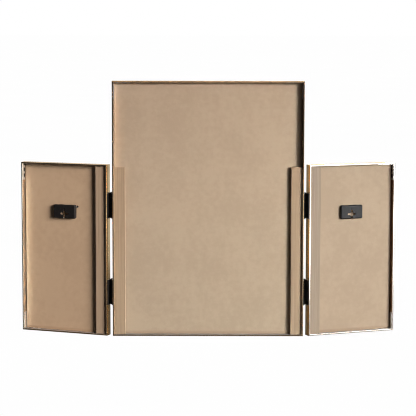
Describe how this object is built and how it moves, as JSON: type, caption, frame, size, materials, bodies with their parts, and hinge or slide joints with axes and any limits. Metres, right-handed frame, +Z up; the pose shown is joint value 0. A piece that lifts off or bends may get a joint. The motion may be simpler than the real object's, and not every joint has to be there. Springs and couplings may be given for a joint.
{
  "type": "trifold vanity mirror",
  "caption": "Framed tabletop mirror: a tall rectangular panel with a lower hinged wing on each side, fibreboard backs, hinge battens and keyhole hangers.",
  "frame": {"origin": "bottom centre of the centre panel, halfway through its depth, on the surface it stands on", "axes": "+Z up; -Y is the front, where the glass faces; +X to the right of a person looking into the glass"},
  "size_m": [0.9082, 0.1033, 0.612],
  "materials": {
    "frame_brass": "polished, lightly tarnished",
    "silvered_glass": "silvered",
    "foam": "matt",
    "fibreboard": "raw, smooth",
    "batten_wood": "raw, sanded",
    "brace_steel": "zinc plated",
    "hinge_black": "satin black",
    "hanger_black": "satin black"
  },
  "bodies": {
    "centre_panel": {"centre_bottom_rail": "frame_brass", "centre_top_rail": "frame_brass", "centre_left_rail": "frame_brass", "centre_right_rail": "frame_brass", "centre_mirror_glass": "silvered_glass", "centre_foam_sheet": "foam", "centre_backing_board": "fibreboard", "centre_left_batten": "batten_wood", "centre_right_batten": "batten_wood", "centre_corner_braces": "brace_steel", "left_hinge_centre_screws": "hinge_black", "right_hinge_centre_screws": "hinge_black", "left_lower_hinge_fixed_leaf": "hinge_black", "left_lower_hinge_pin": "hinge_black", "left_upper_hinge_fixed_leaf": "hinge_black", "left_upper_hinge_pin": "hinge_black", "right_lower_hinge_fixed_leaf": "hinge_black", "right_lower_hinge_pin": "hinge_black", "right_upper_hinge_fixed_leaf": "hinge_black", "right_upper_hinge_pin": "hinge_black"},
    "left_wing": {"left_wing_bottom_rail": "frame_brass", "left_wing_top_rail": "frame_brass", "left_wing_hinge_rail": "frame_brass", "left_wing_outer_rail": "frame_brass", "left_wing_mirror_glass": "silvered_glass", "left_wing_foam_sheet": "foam", "left_wing_backing_board": "fibreboard", "left_wing_batten": "batten_wood", "left_wing_corner_braces": "brace_steel", "left_wing_hanger_plate": "hanger_black", "left_wing_hanger_rivets": "hanger_black", "left_hinge_wing_screws": "hinge_black", "left_lower_hinge_wing_leaf": "hinge_black", "left_upper_hinge_wing_leaf": "hinge_black"},
    "right_wing": {"right_wing_bottom_rail": "frame_brass", "right_wing_top_rail": "frame_brass", "right_wing_hinge_rail": "frame_brass", "right_wing_outer_rail": "frame_brass", "right_wing_mirror_glass": "silvered_glass", "right_wing_foam_sheet": "foam", "right_wing_backing_board": "fibreboard", "right_wing_batten": "batten_wood", "right_wing_corner_braces": "brace_steel", "right_wing_hanger_plate": "hanger_black", "right_wing_hanger_rivets": "hanger_black", "right_hinge_wing_screws": "hinge_black", "right_lower_hinge_wing_leaf": "hinge_black", "right_upper_hinge_wing_leaf": "hinge_black"}
  },
  "joints": [
    {"name": "left_wing_fold", "type": "hinge", "parent": "centre_panel", "child": "left_wing", "pos_m": [-0.2315, -0.012, 0.207], "axis": [0, 0, 1], "range_deg": [-27, 159]},
    {"name": "right_wing_fold", "type": "hinge", "parent": "centre_panel", "child": "right_wing", "pos_m": [0.2315, -0.012, 0.207], "axis": [0, 0, -1], "range_deg": [-27, 159]}
  ]
}
